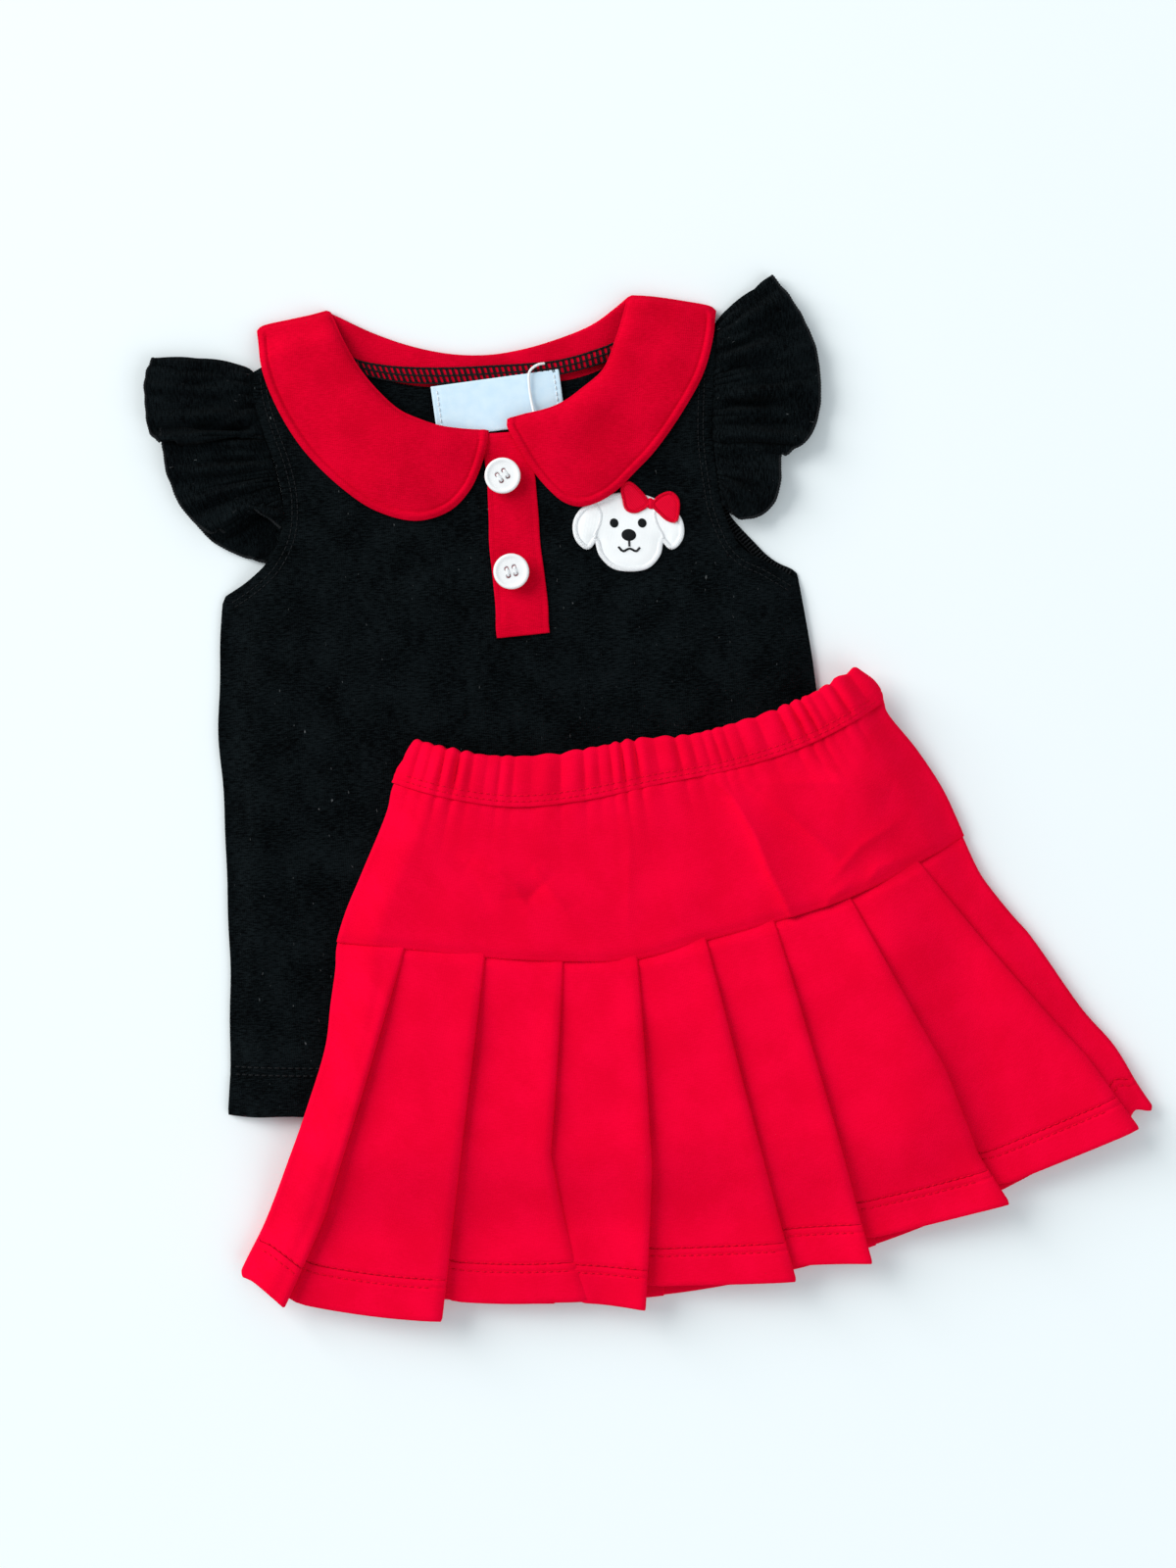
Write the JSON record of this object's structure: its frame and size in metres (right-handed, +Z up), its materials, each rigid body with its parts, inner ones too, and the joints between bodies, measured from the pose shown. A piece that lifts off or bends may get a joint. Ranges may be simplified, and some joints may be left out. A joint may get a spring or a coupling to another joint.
{
  "type": "cheer uniform",
  "caption": "Child's two-piece cheer uniform lying flat: sleeveless top with ruffled sleeves, round collar and buttoned placket, and a pleated skirt with an elastic waist.",
  "frame": {"origin": "middle of the base of the box around both garments, on the surface that they lie on", "axes": "+Z up, out of the garments' front; +Y towards the neck; +X to the right as seen from above"},
  "size_m": [0.4244, 0.4368, 0.0199],
  "materials": {
    "black_jersey": "matt cotton jersey, slightly heathered",
    "collar_red": "smooth matt cotton jersey",
    "skirt_red": "smooth matt double knit",
    "black_thread": "twisted sewing thread",
    "white_thread": "twisted sewing thread",
    "red_thread": "shiny embroidery thread",
    "patch_white": "plain woven cotton",
    "label_satin": "woven satin",
    "elastic_white": "woven elastic",
    "button_white": "glossy"
  },
  "bodies": {
    "top": {"back_panel": "black_jersey", "front_panel": "black_jersey", "armhole_band_left": "black_jersey", "armhole_band_right": "black_jersey", "placket": "collar_red", "collar_stand": "collar_red", "collar_back": "collar_red", "collar_left_base": "collar_red", "collar_right_base": "collar_red", "neck_seam_tape": "black_thread", "neck_label": "label_satin", "tag_string": "white_thread", "patch_face": "patch_white", "patch_eye_left": "black_thread", "patch_eye_right": "black_thread", "patch_nose": "black_thread", "patch_bow_left": "red_thread", "patch_bow_right": "red_thread", "patch_bow_knot": "red_thread", "sleeve_left_head_front": "black_jersey", "sleeve_left_head_back": "black_jersey", "sleeve_right_head_front": "black_jersey", "sleeve_right_head_back": "black_jersey"},
    "collar_left": {"collar_left_under": "collar_red", "collar_left_upper": "collar_red"},
    "collar_right": {"collar_right_under": "collar_red", "collar_right_upper": "collar_red"},
    "sleeve_left": {"sleeve_left_front": "black_jersey", "sleeve_left_back": "black_jersey"},
    "sleeve_right": {"sleeve_right_front": "black_jersey", "sleeve_right_back": "black_jersey"},
    "button_upper": {"button_upper": "button_white", "button_upper_thread": "white_thread"},
    "button_lower": {"button_lower": "button_white", "button_lower_thread": "white_thread"},
    "skirt": {"waistband_front": "skirt_red", "waistband_back": "skirt_red", "waist_elastic": "elastic_white", "yoke_front": "skirt_red", "yoke_back": "skirt_red", "pleats_front": "skirt_red", "pleats_back": "skirt_red"}
  },
  "joints": [
    {"name": "collar_left_lift", "type": "hinge", "parent": "top", "child": "collar_left", "pos_m": [-0.11161, 0.15871, 0.0129], "axis": [-0.8191, 0.5737, 0], "range_deg": [0, 120]},
    {"name": "collar_right_lift", "type": "hinge", "parent": "top", "child": "collar_right", "pos_m": [-0.01875, 0.16211, 0.0129], "axis": [-0.7392, -0.6735, 0], "range_deg": [0, 120]},
    {"name": "sleeve_left_lift", "type": "hinge", "parent": "top", "child": "sleeve_left", "pos_m": [-0.16464, 0.1421, 0.00885], "axis": [-0.1456, 0.9893, 0], "range_deg": [0, 90]},
    {"name": "sleeve_right_lift", "type": "hinge", "parent": "top", "child": "sleeve_right", "pos_m": [0.03333, 0.15855, 0.00885], "axis": [0.0785, -0.9969, 0], "range_deg": [0, 90]},
    {"name": "button_upper_turn", "type": "hinge", "parent": "top", "child": "button_upper", "pos_m": [-0.06162, 0.13398, 0.0125], "axis": [0, 0, 1], "range_deg": [-15, 15]},
    {"name": "button_lower_turn", "type": "hinge", "parent": "top", "child": "button_lower", "pos_m": [-0.05801, 0.09415, 0.0115], "axis": [0, 0, 1], "range_deg": [-15, 15]},
    {"name": "skirt_lift", "type": "slide", "parent": "top", "child": "skirt", "axis": [0, 0, 1], "range_m": [0, 0.15]}
  ]
}
